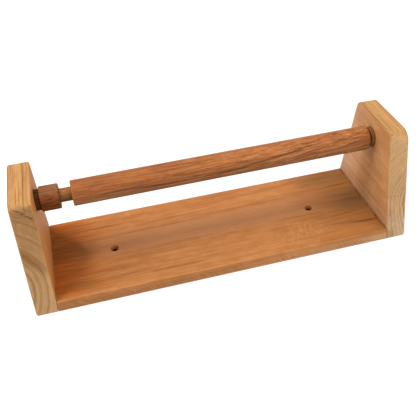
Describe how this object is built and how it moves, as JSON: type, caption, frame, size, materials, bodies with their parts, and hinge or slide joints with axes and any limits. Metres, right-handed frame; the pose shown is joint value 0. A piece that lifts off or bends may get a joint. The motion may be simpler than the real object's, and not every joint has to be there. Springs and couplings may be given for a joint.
{
  "type": "toilet paper holder",
  "caption": "Wall-mount wooden roll holder: a back board between two tapered side panels and a spring-loaded round roller.",
  "frame": {"origin": "middle of the back board's wall face", "axes": "+X along the roller towards its fixed end, +Z out of the wall; -Z faces the wall, and the part is stored lying on its back board"},
  "size_m": [0.34, 0.1076, 0.0998],
  "materials": {
    "board_wood": "oiled, warm orange-brown, grain along the roller",
    "panel_wood": "oiled, golden brown, fine dark lines, grain front to back",
    "plug_wood": "oiled, sanded flush",
    "rod_wood": "oiled, reddish brown with dark streaks",
    "dark_wood": "oiled, dark walnut brown",
    "stem_wood": "plain dowel, light oil",
    "screw_steel": "zinc plated",
    "spring_steel": "drawn wire"
  },
  "bodies": {
    "frame": {"back_board": "board_wood", "left_side_panel": "panel_wood", "right_side_panel": "panel_wood", "left_front_screw": "screw_steel", "left_rear_screw": "screw_steel", "right_front_screw": "screw_steel", "right_rear_screw": "screw_steel", "left_front_plug": "plug_wood", "left_rear_plug": "plug_wood", "right_front_plug": "plug_wood", "right_rear_plug": "plug_wood"},
    "roller": {"roller_rod": "rod_wood", "roller_end_peg": "dark_wood", "plunger_spring": "spring_steel"},
    "plunger": {"plunger_end_cap": "dark_wood", "plunger_stem": "stem_wood"}
  },
  "joints": [
    {"name": "roller_spin", "type": "hinge", "parent": "frame", "child": "roller", "pos_m": [0, 0, 0.0798], "axis": [1, 0, 0], "continuous": true},
    {"name": "plunger_slide", "type": "slide", "parent": "roller", "child": "plunger", "axis": [1, 0, 0], "range_m": [0, 0.0098], "stiffness_N_per_m": 700, "springref_m": -0.012, "deforming": ["plunger_spring"]}
  ]
}
